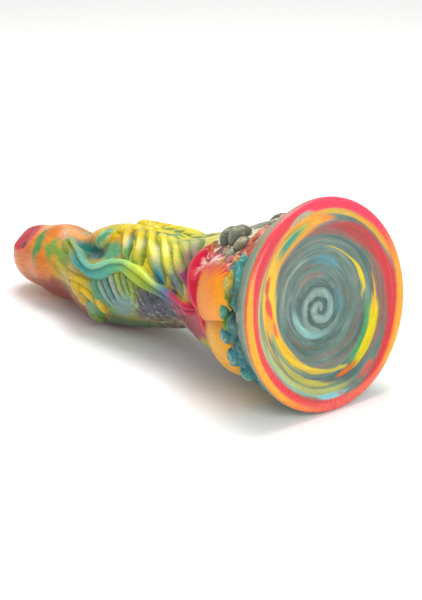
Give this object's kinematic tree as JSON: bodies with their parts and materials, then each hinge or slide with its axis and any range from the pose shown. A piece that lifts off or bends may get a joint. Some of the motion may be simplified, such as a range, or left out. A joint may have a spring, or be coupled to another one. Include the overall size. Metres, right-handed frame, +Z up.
{
  "type": "silicone dildo (adult product)",
  "caption": "Adult product: marbled silicone dildo with a sculpted, ribbed shaft, rounded tip and flared suction-cup base, lying on its side.",
  "frame": {"origin": "centre of the bounding box at floor level, with the piece lying on its side on its rim and belly", "axes": "+Z up; +X from the tip towards the suction cup, in the piece's plane of symmetry; +Y across the piece"},
  "size_m": [0.2202, 0.09, 0.0891],
  "materials": {
    "coral_silicone": "satin marbled silicone",
    "pearl_teal_silicone": "satin marbled silicone",
    "olive_teal_silicone": "satin marbled silicone",
    "crust_teal_silicone": "satin marbled silicone",
    "grey_olive_silicone": "satin marbled silicone",
    "orange_silicone": "satin marbled silicone",
    "amber_silicone": "satin marbled silicone",
    "crimson_silicone": "satin marbled silicone",
    "gold_green_silicone": "satin marbled silicone",
    "yellow_silicone": "satin marbled silicone",
    "sea_green_silicone": "satin marbled silicone",
    "slate_silicone": "satin marbled silicone",
    "mustard_silicone": "satin marbled silicone",
    "deep_teal_silicone": "satin marbled silicone",
    "peach_silicone": "satin marbled silicone"
  },
  "bodies": {
    "root": {"rim_lip": "coral_silicone", "suction_disc": "pearl_teal_silicone", "cup_wall": "pearl_teal_silicone", "base_flange": "olive_teal_silicone", "bulb": "crimson_silicone", "neck": "crimson_silicone", "belly": "gold_green_silicone", "waist": "deep_teal_silicone", "shoulder": "peach_silicone", "tip": "peach_silicone", "crust_collar": "crust_teal_silicone", "crust_knobs": "grey_olive_silicone", "throat_ridge": "crimson_silicone", "upper_lobe_near": "orange_silicone", "lower_lobe_near": "amber_silicone", "tendril_near": "sea_green_silicone", "braid_near": "mustard_silicone", "rib_fan_near": "yellow_silicone", "fold_fan_near": "slate_silicone", "shoulder_horn_near": "deep_teal_silicone", "upper_lobe_far": "orange_silicone", "lower_lobe_far": "amber_silicone", "tendril_far": "sea_green_silicone", "braid_far": "mustard_silicone", "rib_fan_far": "yellow_silicone", "fold_fan_far": "slate_silicone", "shoulder_horn_far": "deep_teal_silicone"}
  },
  "joints": []
}
